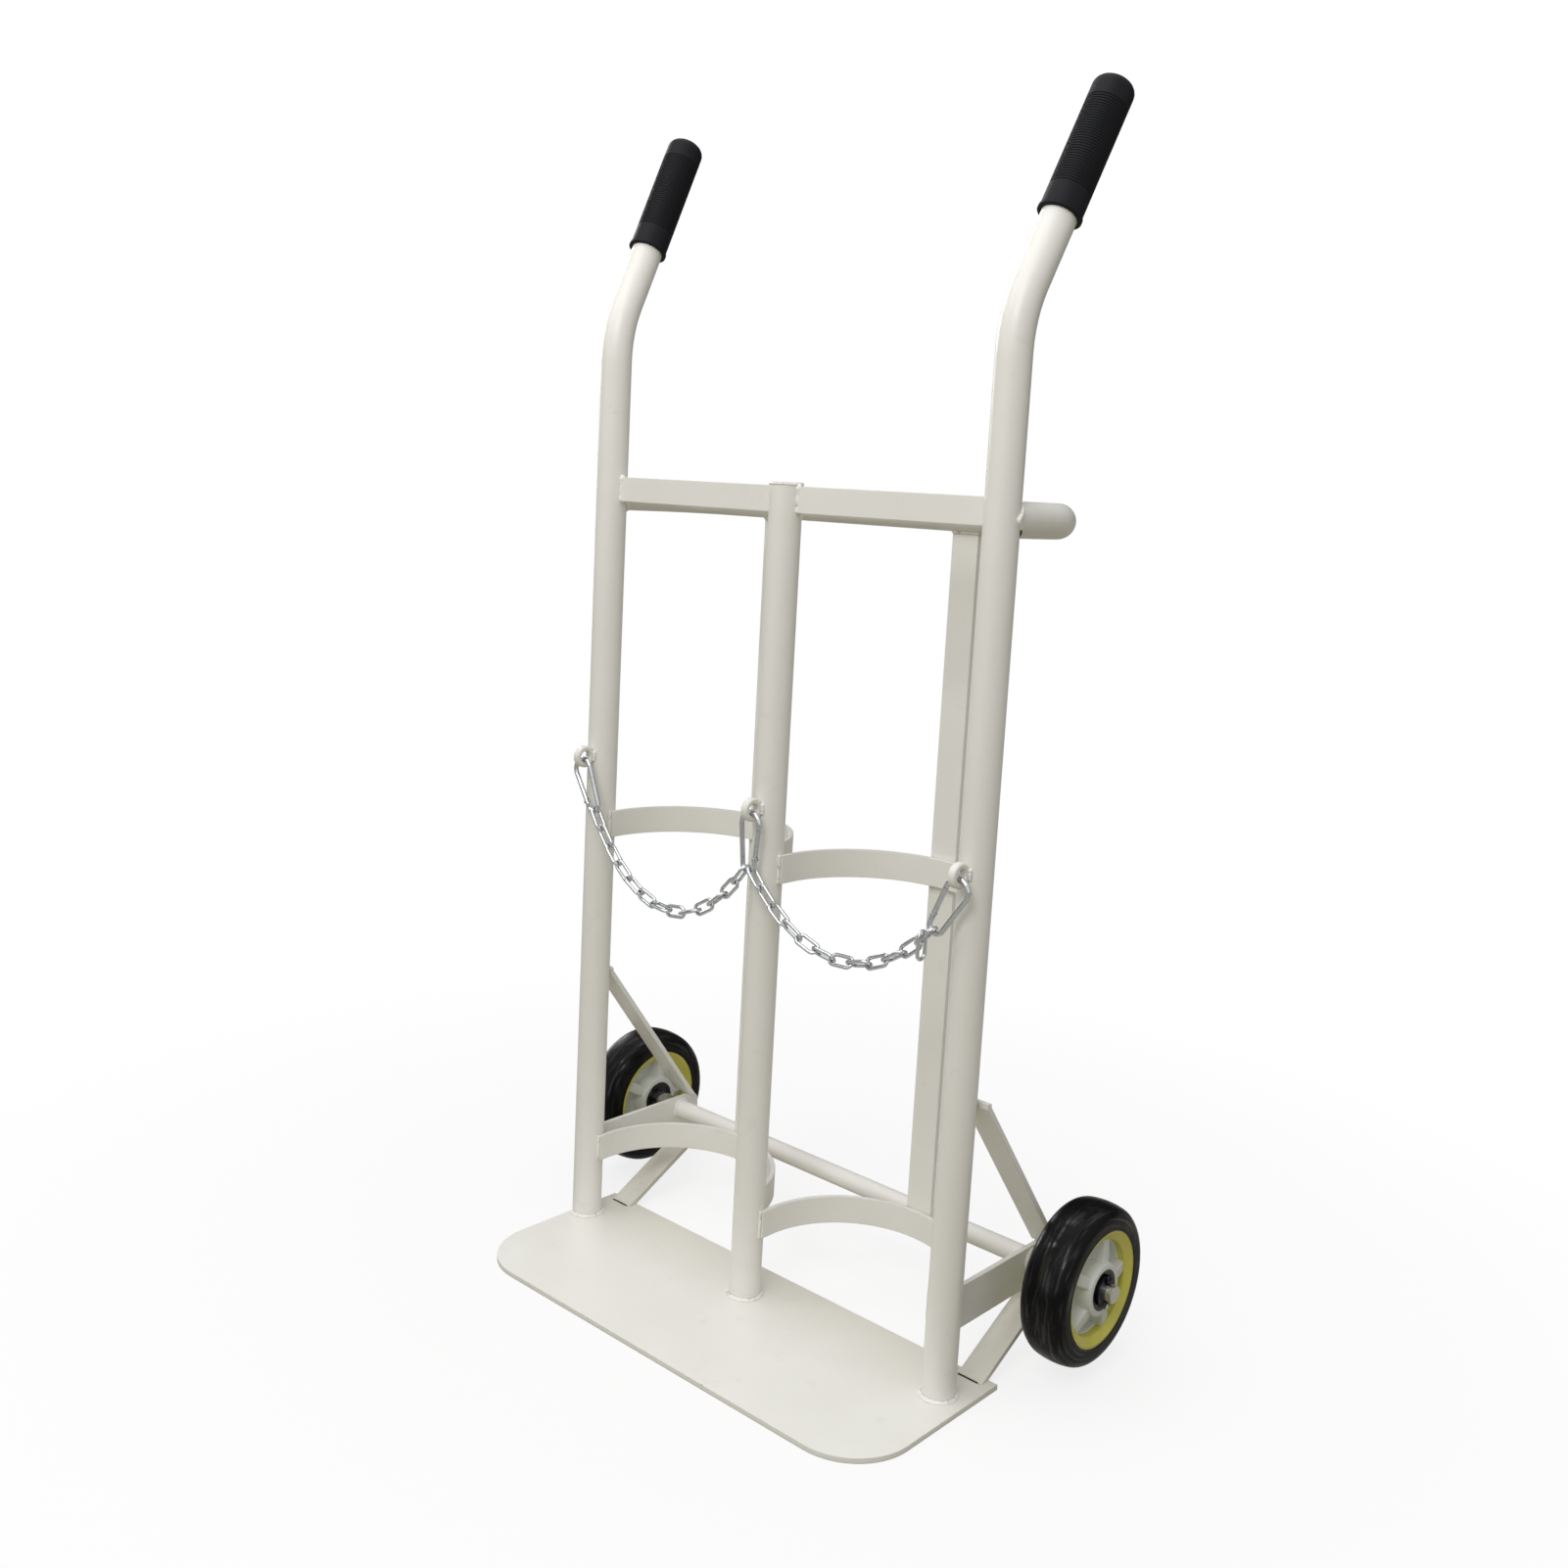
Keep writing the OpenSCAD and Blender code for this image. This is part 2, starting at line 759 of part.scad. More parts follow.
// The split pin: a ring head, a shank through the rod, and two legs spread below it
module split_pin(side) {
    wire = pin_d / 2;
    head_r = pin_d;
    head_z = rod_r + head_r + wire;
    shank_l = head_z - head_r + rod_r + wire;
    spread = 35;
    color("#d9d8d2")
        mirror([side < 0 ? 1 : 0, 0, 0])
            translate([pin_x, axle_y, axle_z]) {
                translate([0, 0, head_z])
                    rotate([0, 90, 0])
                        rotate_extrude()
                            translate([head_r, 0])
                                circle(wire / 1.2);
                translate([0, 0, head_z - head_r - shank_l])
                    cylinder(d = pin_d - 2 * pin_play, h = shank_l);
                for (leg = [-1, 1])
                    translate([0, 0, head_z - head_r - shank_l + wire])
                        rotate([180 + leg * spread, 0, 0])
                            cylinder(d = wire, h = rod_d / 2);
            }
}

// Hooks and chain

// An arc of wire in the XZ plane about the origin
module wire_arc(r, wire, from, span) {
    rotate([90, 0, 0])
        rotate([0, 0, from])
            rotate_extrude(angle = span)
                translate([r, 0])
                    circle(d = wire);
}

// The hook's own place: origin at the centre of its wide end, leaning towards its chain,
// with the gate on the +X side before it is turned to its real side
module at_hook(i) {
    translate(hook_seat(i) - [0, 0, hook_top_r])
        rotate([0, -hook_leans[i], 0])
            mirror([gate_sides[i] < 0 ? 1 : 0, 0, 0])
                children();
}

// The line of the gate: origin where it leaves the narrow end, +Z towards the wide end
module at_gate_line() {
    translate([0, 0, -hook_core])
        rotate([0, hook_slant, 0])
            translate([hook_end_r, 0, 0])
                children();
}

module hook(i) {
    bend_wire = hook_wire - 2 * bend_skin;
    color(zinc)
        at_hook(i) {
            wire_arc(hook_top_r, bend_wire, -hook_slant, 180 + 2 * hook_slant);
            translate([0, 0, -hook_core])
                wire_arc(hook_end_r, bend_wire, 180 + hook_slant, 180 - 2 * hook_slant);
            mirror([1, 0, 0])
                at_gate_line()
                    translate([0, 0, -bend_lap])
                        cylinder(d = hook_wire, h = gate_line + 2 * bend_lap);
            at_gate_line() {
                translate([0, 0, gate_line - gate_nose])
                    cylinder(d = hook_wire, h = gate_nose + bend_lap);
                difference() {
                    union() {
                        translate([-tongue_w / 2, -tongue_t / 2, -bend_lap])
                            cube([tongue_w, tongue_t, gate_pivot + bend_lap]);
                        translate([0, 0, gate_pivot])
                            rotate([90, 0, 0])
                                cylinder(d = tongue_w, h = tongue_t, center = true);
                    }
                    translate([0, 0, gate_pivot])
                        rotate([90, 0, 0])
                            cylinder(d = rivet_d, h = hook_wire, center = true);
                }
            }
        }
}

// A round bar, forked at its foot round the hook's tongue
module gate(i) {
    slot_l = tongue_w / 2 + 1.2;
    color(zinc)
        at_hook(i)
            at_gate_line()
                difference() {
                    translate([0, 0, gate_pivot - tongue_w / 2])
                        cylinder(d = hook_wire, h = gate_line - gate_nose - gate_gap - gate_pivot + tongue_w / 2);
                    translate([-hook_wire, -tongue_t / 2 - cheek_gap, gate_pivot - slot_l])
                        cube([2 * hook_wire, tongue_t + 2 * cheek_gap, 2 * slot_l]);
                    translate([0, 0, gate_pivot])
                        rotate([90, 0, 0])
                            cylinder(d = rivet_d + 2 * rivet_play, h = 2 * hook_wire, center = true);
                }
}

module rivet(i) {
    head_d = 1.7 * rivet_d;
    head_gap = 0.1;
    color(zinc)
        at_hook(i)
            at_gate_line()
                translate([0, 0, gate_pivot])
                    rotate([90, 0, 0]) {
                        cylinder(d = rivet_d, h = hook_wire + 2 * head_gap, center = true);
                        for (end = [0, 1])
                            mirror([0, 0, end])
                                translate([0, 0, hook_wire / 2 + head_gap])
                                    cylinder(d = head_d, h = rivet_head);
                    }
}

// One link along +X from the axis of its first end's wire, flat in the XY plane
module link() {
    straight = link_l - 2 * link_half_w;
    for (end = [0, 1])
        translate([link_half_w + end * straight, 0, 0])
            rotate([0, 0, 90 + 180 * end])
                rotate_extrude(angle = 180)
                    translate([link_half_w, 0])
                        circle(d = chain_wire);
    for (side = [-1, 1])
        translate([link_half_w, side * link_half_w, 0])
            rotate([0, 90, 0])
                cylinder(d = chain_wire, h = straight);
}

// Links from hook to hook, each turned about a quarter against the last,
// so that both end links stand square to their hooks
module chain(s, from) {
    n = len(s);
    twist = 180 * floor(n / 2) / (n - 1);
    for (i = [0 : n - 1])
        translate(link_start(s, from, i))
            rotate([0, -s[i], 0])
                rotate([i * twist, 0, 0])
                    link();
}

// The spare link rides on the front arm of the last link and hangs straight down
module spare_link() {
    last = len(right_slopes) - 1;
    a = right_slopes[last];
    ride = chain_wire + link_play;
    translate(link_start(right_slopes, right_start, last) + 0.62 * link_l * along(a) - [0, link_half_w, 0])
        translate(ride * [-sin(a), 0, cos(a)])
            rotate([0, 90, 0])
                link();
}

module left_chain() {
    color(zinc)
        chain(left_slopes, left_start);
}

module right_chain() {
    color(zinc) {
        chain(right_slopes, right_start);
        spare_link();
    }
}

toe_plate();
upright(-1);  // left_upright
upright(1);  // right_upright
centre_post();
centre_post_cap();
foot_welds();
top_rail(-1);  // left_top_rail
top_rail(1);  // right_top_rail
rear_loop();
saddle(-1, upper_saddle_z);  // left_upper_saddle
saddle(1, upper_saddle_z);  // right_upper_saddle
saddle(-1, lower_saddle_z);  // left_lower_saddle
saddle(1, lower_saddle_z);  // right_lower_saddle
back_strap(-1);  // left_back_strap
back_strap(1);  // right_back_strap
axle_arm(-1);  // left_axle_arm
axle_arm(1);  // right_axle_arm
upper_stay(-1);  // left_upper_stay
upper_stay(1);  // right_upper_stay
lower_stay(-1);  // left_lower_stay
lower_stay(1);  // right_lower_stay
axle_tube();
axle_rod();
spacer(-1);  // left_spacer
spacer(1);  // right_spacer
grip(-1);  // left_grip
grip(1);  // right_grip
chain_eye(0);  // left_chain_eye
chain_eye(1);  // centre_chain_eye
chain_eye(2);  // right_chain_eye
tyre(-1);  // left_tyre
rim(-1);  // left_rim
hub(-1);  // left_hub
bearing(-1, -1);  // left_inner_bearing
bearing(-1, 1);  // left_outer_bearing
washer(-1);  // left_washer
split_pin(-1);  // left_split_pin
tyre(1);  // right_tyre
rim(1);  // right_rim
hub(1);  // right_hub
bearing(1, -1);  // right_inner_bearing
bearing(1, 1);  // right_outer_bearing
washer(1);  // right_washer
split_pin(1);  // right_split_pin
hook(0);  // left_hook
gate(0);  // left_gate
rivet(0);  // left_rivet
hook(1);  // centre_hook
gate(1);  // centre_gate
rivet(1);  // centre_rivet
hook(2);  // right_hook
gate(2);  // right_gate
rivet(2);  // right_rivet
left_chain();
right_chain();
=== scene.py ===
import math

import bpy
import numpy as np
from mathutils import Matrix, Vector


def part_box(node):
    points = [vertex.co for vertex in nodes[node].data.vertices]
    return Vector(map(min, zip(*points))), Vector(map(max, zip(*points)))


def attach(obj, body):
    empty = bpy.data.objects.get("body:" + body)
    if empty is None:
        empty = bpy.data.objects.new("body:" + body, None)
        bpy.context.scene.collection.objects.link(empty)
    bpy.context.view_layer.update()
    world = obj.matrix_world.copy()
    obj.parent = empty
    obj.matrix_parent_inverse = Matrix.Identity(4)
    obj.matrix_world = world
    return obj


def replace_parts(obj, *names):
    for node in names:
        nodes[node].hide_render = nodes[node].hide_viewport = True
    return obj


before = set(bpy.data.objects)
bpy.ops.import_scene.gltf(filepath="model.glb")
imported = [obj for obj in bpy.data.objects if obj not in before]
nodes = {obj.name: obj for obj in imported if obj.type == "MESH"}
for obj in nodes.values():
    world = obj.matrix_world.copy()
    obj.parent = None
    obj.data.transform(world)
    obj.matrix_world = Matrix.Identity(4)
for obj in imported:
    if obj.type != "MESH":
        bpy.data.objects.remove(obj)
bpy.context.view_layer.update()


# Toe plate: a sheet of mild steel, cut with two large round corners at the front and
# sprayed with the same ivory enamel as the rest of the welded frame. Its cut edge is
# chipped here and there, because it is set down on concrete.

MM = 1000  # a pattern's scale is counted per metre, so MM / 90 makes patches of 90 mm


def srgb(code):
    """Linear colour of an sRGB hex value."""
    c = np.array([int(code[i:i + 2], 16) for i in (1, 3, 5)]) / 255
    linear = np.where(c > 0.04045, ((c + 0.055) / 1.055) ** 2.4, c / 12.92)
    return (*linear.tolist(), 1.0)


def add(tree, kind, out, *inputs, **named):
    """Adds one shader node and gives its output called out. Inputs come in their order or by name, with _ for
    a space, each a value or a socket to link from; a name in small letters is a setting of the node."""
    made = tree.nodes.new("ShaderNode" + kind)
    given = list(enumerate(inputs))
    for name, value in named.items():
        if name.islower():
            setattr(made, name, value)
        else:
            given.append((name.replace("_", " "), value))
    live = [socket for socket in made.inputs if socket.enabled]
    for place, value in given:
        socket = live[place] if isinstance(place, int) else next(s for s in live if s.name == place)
        if isinstance(value, bpy.types.NodeSocket):
            tree.links.new(value, socket)
        else:
            socket.default_value = value
    return next((s for s in made.outputs if s.enabled and s.name == out), None)


def blank(name):
    """A new material with an empty tree, that tree, and Object coordinates in it."""
    material = bpy.data.materials.new(name)
    material.use_nodes = True
    tree = material.node_tree
    tree.nodes.clear()
    return material, tree, add(tree, "TexCoord", "Object")


RUBBED_DIRT = (28, 0.60, 0.30, "#BDB8A6")  # smears of 28 mm, from which noise level, how strong, and colour


def ivory_enamel(name, tones, chips, dirt, back_shade=None):
    """Sprayed ivory enamel on steel. To the eye: a satin gloss with a fine orange peel, slow drifts between
    two tones, rubbed dirt in smears, painted shade in dusty patches in closed-in corners, and edges worn to
    grey where chips is above 0.
    Painted shade along the depth is given by the depths where it starts and is full, its share there and its
    colour."""
    dirt_mm, dirt_from, dirt_share, dirt_colour = dirt
    material, tree, coords = blank(name)
    drift = add(tree, "TexNoise", "Fac", Vector=coords, Scale=MM / 90, Detail=3.0)
    tone = add(tree, "Mix", "Result", drift, srgb(tones[0]), srgb(tones[1]), data_type="RGBA")
    smear = add(tree, "TexNoise", "Fac", Vector=coords, Scale=MM / dirt_mm, Detail=6.0, Roughness=0.7)
    rubbed = add(tree, "MapRange", "Result", smear, dirt_from, dirt_from + 0.26, 0.0, dirt_share)
    dirty = add(tree, "Mix", "Result", rubbed, tone, srgb(dirt_colour), data_type="RGBA")
    # Painted shade: the enamel goes darker in corners that are closed in within 5 mm, broken into patches like
    # dust
    openness = add(tree, "AmbientOcclusion", "AO", Distance=0.005, samples=4)
    corner = add(tree, "MapRange", "Result", openness, 0.45, 0.20)
    patchy = add(tree, "MapRange", "Result", smear, 0.30, 0.60, 0.25, 0.7)
    corner_shade_and_dust = add(tree, "Math", "Value", corner, patchy, operation="MULTIPLY")
    grey = add(tree, "Mix", "Result", corner_shade_and_dust, dirty, srgb("#8C8770"), data_type="RGBA")
    # Painted shade: the enamel goes darker along the depth, towards the back
    if back_shade:
        shade_from, shade_full, shade_share, shade_colour = back_shade
        depth = add(tree, "SeparateXYZ", "Y", coords)
        shaded = add(tree, "MapRange", "Result", depth, shade_from, shade_full, 0.0, shade_share)
        grey = add(tree, "Mix", "Result", shaded, grey, srgb(shade_colour), data_type="RGBA")
    # The rounded normal leaves the true one only along an edge, which marks where paint wears
    rounded = add(tree, "Bevel", "Normal", Radius=0.0012, samples=4)
    true_normal = add(tree, "NewGeometry", "Normal")
    facing = add(tree, "VectorMath", "Value", rounded, true_normal, operation="DOT_PRODUCT")
    edge = add(tree, "MapRange", "Result", facing, 0.985, 0.9)
    nick = add(tree, "TexNoise", "Fac", Vector=coords, Scale=MM / 7, Detail=4.0, Roughness=0.65)
    chipped = add(tree, "MapRange", "Result", nick, 0.66 - 0.1 * chips, 0.72, 0.0, chips)
    worn = add(tree, "Math", "Value", edge, chipped, operation="MULTIPLY")
    colour = add(tree, "Mix", "Result", worn, grey, srgb("#6F6B60"), data_type="RGBA")
    # Orange peel is about 2.4 mm from crest to crest
    peel = add(tree, "TexNoise", "Fac", Vector=coords, Scale=MM / 2.4, Detail=2.0)
    skin = add(tree, "Bump", "Normal", Height=peel, Strength=0.12, Distance=0.0003, Normal=rounded)
    gloss = add(tree, "MapRange", "Result", smear, 0.3, 0.8, 0.28, 0.46)
    coat = add(tree, "BsdfPrincipled", "BSDF", Base_Color=colour, Roughness=gloss, Normal=skin, IOR=1.5)
    add(tree, "OutputMaterial", None, coat)
    return material


def dress(material, *names):
    """Gives CAD nodes a material."""
    for name in names:
        mesh = nodes[name].data
        mesh.materials.clear()
        mesh.materials.append(material)


# The plate is the palest piece: a paler copy of the frame's enamel, painted light for the light on its top
# face.
# Painted shade darkens it towards the back, and it is knocked bare along its edge
plate_low, plate_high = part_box("toe_plate")
plate_back_shade = ((plate_low[1] + plate_high[1]) / 2, plate_high[1], 0.26, "#B5AC8C")
plate_enamel = ivory_enamel("ivory_enamel_chipped", ("#F1EFE7", "#F9F8F2"), 1.0, RUBBED_DIRT, plate_back_shade)
dress(plate_enamel, "toe_plate")


# Uprights and centre post: cold-drawn steel tube. The uprights are one length each, bent
# back into the handles; the centre post is sawn off level with the rails and closed by a
# disc. All three stand on the plate in a ring of weld, laid in short ripples.

X, Y, Z = np.eye(3)


def middle(name):
    """Middle of a CAD node's box."""
    return np.mean(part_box(name), axis=0)


post_low, post_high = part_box("centre_post")
POST_X, POST_Y = middle("right_chain_eye")[0], middle("centre_post")[1]
POST_R = (post_high[0] - post_low[0]) / 2
POST_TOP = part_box("centre_post_cap")[1][2]
PLATE_TOP, PLATE_LEFT = plate_high[2], plate_low[0]
RIPPLE = 0.003  # from one ripple of a weld to the next
BEAD_SIDES, BEAD_STEP = 12, 0.0006  # corners of a bead's circle, and from one circle to the next
RING_POINTS, STROKE_POINTS = 240, 12
FOOT_OUT, FOOT_UP = 0.0009, 0.0005  # middle of a foot's bead, out from the tube and up from the plate
FOOT_BEAD = [0.0023, 0.0027, 0.0021, 0.0026, 0.0023]  # its radius, from start to end
FOOT_GAP = 0.004  # how far inside the plate's edge the left foot's ring stops
CAP_IN, CAP_DOWN = 0.0006, 0.0018  # middle of the cap's bead, in from the tube and down from the top
CAP_BEAD = [0.0014, 0.0012, 0.0016, 0.0012, 0.0014]


def bead(path, square_to, radii, closed):
    """A weld bead: a circle carried along a path, at every point square to it. Its radius runs through the
    given values from end to end, with a faint uneven ripple, the path wanders by a tenth of the radius, and
    the ends of an open bead are rounded off. Gives its points, its four-sided faces and its end faces."""
    path = np.vstack([path, path[:1]]) if closed else path
    run = np.concatenate([[0.0], np.cumsum(np.linalg.norm(np.diff(path, axis=0), axis=1))])
    length, sides = run[-1], BEAD_SIDES
    count = max(16, int(length / BEAD_STEP))
    s = np.linspace(0.0, length, count, endpoint=not closed)
    line = np.stack([np.interp(s, run, path[:, i]) for i in range(3)], axis=1)
    along = np.roll(line, -1, 0) - np.roll(line, 1, 0) if closed else np.gradient(line, axis=0)
    along /= np.linalg.norm(along, axis=1, keepdims=True)
    out = np.cross(along, square_to)
    out /= np.linalg.norm(out, axis=1, keepdims=True)
    up = np.cross(out, along)
    turns = 2 * np.pi * s / length
    ripples = max(1, round(length / RIPPLE))
    uneven = np.sin(2 * turns + 1) + np.sin(5 * turns + 3)
    wild = np.sin(11 * turns + 2 * np.sin(3 * turns))
    size = np.interp(s / length, np.linspace(0, 1, len(radii)), radii)
    to_end = np.clip(np.minimum(s, length - s) / (1.2 * size), 0.03, 1)
    rounded = np.ones(count) if closed else np.sqrt(1 - (1 - to_end) ** 2)
    line = line + (0.1 * size * np.sin(3 * turns + 2))[:, None] * out
    swell = 1 + 0.04 * np.sin(ripples * turns + uneven) + 0.035 * uneven + 0.035 * wild
    r = (size * rounded * swell)[:, None, None]
    turn = np.linspace(0, 2 * np.pi, sides, endpoint=False)[None, :, None]
    points = line[:, None] + r * (np.cos(turn) * out[:, None] + np.sin(turn) * up[:, None])
    i, j = np.meshgrid(np.arange(count if closed else count - 1), np.arange(sides), indexing="ij")
    i2, j2 = (i + 1) % count, (j + 1) % sides
    quads = np.stack([i * sides + j, i2 * sides + j, i2 * sides + j2, i * sides + j2], axis=-1).reshape(-1, 4)
    first = np.arange(sides)
    ends = np.stack([first, first[::-1] + (count - 1) * sides])
    return points.reshape(-1, 3), quads, ends[:0] if closed else ends


def piece(name, points, faces, material, body):
    """A new smooth piece of points and faces, riding on a body."""
    mesh = bpy.data.meshes.new(name)
    mesh.from_pydata(points.tolist(), [], faces)
    mesh.polygons.foreach_set("use_smooth", np.ones(len(mesh.polygons), bool))
    mesh.materials.append(material)
    thing = bpy.data.objects.new(name, mesh)
    bpy.context.scene.collection.objects.link(thing)
    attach(thing, body)
    return thing


def weld(name, runs, material):
    """One piece of several beads, each given as its path, the direction its circles are squared to, its radii
    and whether it is closed."""
    beads = [bead(*run) for run in runs]
    starts = np.cumsum([0] + [len(points) for points, _, _ in beads])
    points = np.concatenate([points for points, _, _ in beads])
    quads = np.concatenate([quads + start for (_, quads, _), start in zip(beads, starts)])
    ends = np.concatenate([ends + start for (_, _, ends), start in zip(beads, starts)])
    return piece(name, points, quads.tolist() + ends.tolist(), material, "frame")


def ring(centre, first, second, half, squareness=1.0):
    """A closed path round a centre: an ellipse of two half sizes, or a rounded box where squareness, the
    power that its sine and cosine are raised to, is below 1."""
    t = np.linspace(0, 2 * np.pi, RING_POINTS, endpoint=False)[:, None]
    c, s = np.cos(t), np.sin(t)
    return (np.array(centre) + half[0] * np.sign(c) * np.abs(c) ** squareness * first
            + half[1] * np.sign(s) * np.abs(s) ** squareness * second)


def stroke(start, end):
    """A straight path."""
    return np.linspace(np.array(start, float), np.array(end, float), STROKE_POINTS)


# A weld gets a whiter copy of the enamel, a painted highlight for the light its round bead catches, and small
# dark spots
frame_enamel = ivory_enamel("ivory_enamel", ("#E9E7DF", "#F1F0EA"), 0.25, RUBBED_DIRT)
weld_enamel = ivory_enamel("ivory_enamel_on_weld", ("#EFEEE8", "#F8F7F2"), 0.0, (6, 0.53, 1.0, "#7F7A69"))
dress(frame_enamel, "left_upright", "right_upright", "centre_post", "centre_post_cap")
foot_runs = []
for x in (-POST_X, 0.0, POST_X):
    path = ring((x, POST_Y, PLATE_TOP + FOOT_UP), X, Y, (POST_R + FOOT_OUT, POST_R + FOOT_OUT))
    if x < 0:
        # The left post stands over the plate's edge, so its ring is left open there
        kept = path[:, 0] > PLATE_LEFT + FOOT_GAP
        first = int(np.argmax(~kept)) + int(np.sum(~kept))
        path = np.roll(path, -first, 0)[:int(np.sum(kept))]
    foot_runs.append((path, Z, FOOT_BEAD, x >= 0))
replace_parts(weld("post_foot_welds", foot_runs, weld_enamel), "foot_welds")
cap_path = ring((0, POST_Y, POST_TOP - CAP_DOWN), X, Y, (POST_R - CAP_IN, POST_R - CAP_IN))
weld("cap_weld", [(cap_path, Z, CAP_BEAD, True)], weld_enamel)


# Rails, rear loop, saddles and straps: flat bar and one more bent tube, cut to fit the posts
# and welded in place before the frame was painted. The chain eyes are stout rings set into
# the fronts of the posts, with a lump of weld at each side.

rail_low, rail_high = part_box("left_top_rail")
BAR = rail_high[1] - rail_low[1]
RAIL_Z, LOOP_Z = middle("left_top_rail")[2], middle("rear_loop")[2]
SADDLE_Z = (middle("left_upper_saddle")[2], middle("left_lower_saddle")[2])
BAY_X, STRAP_Y = middle("right_upper_saddle")[0], middle("right_back_strap")[1]
STRAP_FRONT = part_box("right_back_strap")[0][1]
PROUD = 0.0003  # how far the middle of a bead round a bar or tube lies outside its face
BOXY = 0.25  # squareness of a bead round a flat bar's end
RAIL_FRONT, RAIL_BACK = 0.0005, 0.0030  # the rail beads' middles, before and behind the posts' middle
RAIL_FOOT, RAIL_TOP, RAIL_HALF = 0.0145, 0.0148, 0.0135  # reach of the front bead down and up, of the back one
RAIL_FRONT_BEAD, RAIL_BACK_BEAD = [0.0030, 0.0032, 0.0028, 0.0031, 0.0040], [0.0022]
LOOP_BACK = 0.0006  # how far behind the tubes' meeting line the loop's beads lie
LEFT_LOOP_BEAD, RIGHT_LOOP_BEAD, SLOT_BEAD = [0.0021], [0.0026, 0.0020, 0.0022, 0.0018, 0.0022], [0.0011]
WELDED, LEFT_OPEN = (-28, 285), (-72, -30)  # degrees round the right leg
# A saddle's beads at a post: out from the post's side, behind the posts' middle, and half the bead's length
SADDLE_BEADS = ((0.0006, -0.0012, 0.0150), (-0.0014, 0.0064, 0.0130))
STRAP_HALF, STRAP_BEAD_HALF, STRAP_GAP = 0.0152, 0.0125, 0.0002
SIDE_BEAD = [0.0018]
EYE_SIDE, EYE_FRONT, EYE_HALF = 0.0046, 0.0158, 0.0060  # a lump beside an eye, before the posts' middle
EYE_LEFT_BEAD, EYE_RIGHT_BEAD = [0.0030], [0.0022]

for side in ("left", "right"):
    dress(frame_enamel, side + "_top_rail", side + "_upper_saddle", side + "_lower_saddle",
          side + "_back_strap", side + "_chain_eye")
dress(frame_enamel, "rear_loop", "centre_chain_eye")
rail_runs = []
for x in (POST_R - POST_X, -POST_R, POST_R, POST_X - POST_R):
    # The front bead is broad and flat, sunk in the corner, with a lump where the torch stopped
    front, back = POST_Y - RAIL_FRONT, POST_Y + RAIL_BACK
    front_line = stroke((x, front, RAIL_Z - RAIL_FOOT), (x, front, RAIL_Z + RAIL_TOP))
    back_line = stroke((x, back, RAIL_Z - RAIL_HALF), (x, back, RAIL_Z + RAIL_HALF))
    rail_runs.append((front_line, X, RAIL_FRONT_BEAD, False))
    rail_runs.append((back_line, X, RAIL_BACK_BEAD, False))
weld("rail_welds", rail_runs, weld_enamel)


def tube_joint(x, start, end):
    """Part of the line where a leg of the loop meets its post, from start to end in degrees round the leg.
    Both tubes have one size, so the line lies on the post at |sin| of the turn."""
    turn = np.radians(np.linspace(start, end, RING_POINTS, endpoint=end - start < 360))
    r = POST_R + PROUD
    depth = POST_Y + LOOP_BACK + r * np.abs(np.sin(turn))
    return np.stack([x + r * np.cos(turn), depth, LOOP_Z + r * np.sin(turn)], axis=1)


# The right leg's weld stops short below, and a dark bead in the slot it leaves is painted shade
weld("loop_welds", [(tube_joint(-POST_X, 0, 360), Y, LEFT_LOOP_BEAD, True),
                    (tube_joint(POST_X, *WELDED), Y, RIGHT_LOOP_BEAD, False)], weld_enamel)
# Painted shade for a gap: to the eye a dull brownish black with no shine
gap_shade, tree, coords = blank("painted_gap_shade")
grain = add(tree, "TexNoise", "Fac", Vector=coords, Scale=MM / 4, Detail=3.0)
shade_tone = add(tree, "Mix", "Result", grain, srgb("#1F1D18"), srgb("#4A463A"), data_type="RGBA")
matt = add(tree, "BsdfPrincipled", "BSDF", Base_Color=shade_tone, Roughness=0.9, Specular_IOR_Level=0.1)
add(tree, "OutputMaterial", None, matt)
weld("loop_slot", [(tube_joint(POST_X, *LEFT_OPEN), Y, SLOT_BEAD, False)], gap_shade)
saddle_runs = []
for side in (-1, 1):
    for z in SADDLE_Z:
        # Each place: distance from the trolley's middle, depth, and half the bead's length
        places = []
        for out, back, half in SADDLE_BEADS:
            places.append((POST_R + out, POST_Y + back, half))
            places.append((2 * BAY_X - POST_R - out, POST_Y + back, half))
        for edge in (BAY_X - STRAP_HALF, BAY_X + STRAP_HALF):
            places.append((edge, STRAP_FRONT, STRAP_BEAD_HALF))
        for x, y, half in places:
            upright_line = stroke((side * x, y, z - half), (side * x, y, z + half))
            saddle_runs.append((upright_line, X, SIDE_BEAD, False))
    strap_top = (side * BAY_X, STRAP_Y, LOOP_Z - POST_R - STRAP_GAP)
    strap_end = ring(strap_top, X, Y, (STRAP_HALF, BAR / 2 + PROUD), BOXY)
    saddle_runs.append((strap_end, Z, SIDE_BEAD, True))
weld("saddle_welds", saddle_runs, weld_enamel)
eye_runs = []
for place in ("left", "centre", "right"):
    x, _, z = middle(place + "_chain_eye")
    for beside, radii in ((x - EYE_SIDE, EYE_LEFT_BEAD), (x + EYE_SIDE, EYE_RIGHT_BEAD)):
        lump = stroke((beside, POST_Y - EYE_FRONT, z - EYE_HALF), (beside, POST_Y - EYE_FRONT, z + EYE_HALF))
        eye_runs.append((lump, X, radii, False))
weld("eye_welds", eye_runs, weld_enamel)


# Axle arms, stays and axle tube: flat bar on edge and flat bar laid across, welded to the
# posts and the plate, with the axle tube passed through both arms. The lower stays had only
# one thin coat, so they are greyer.

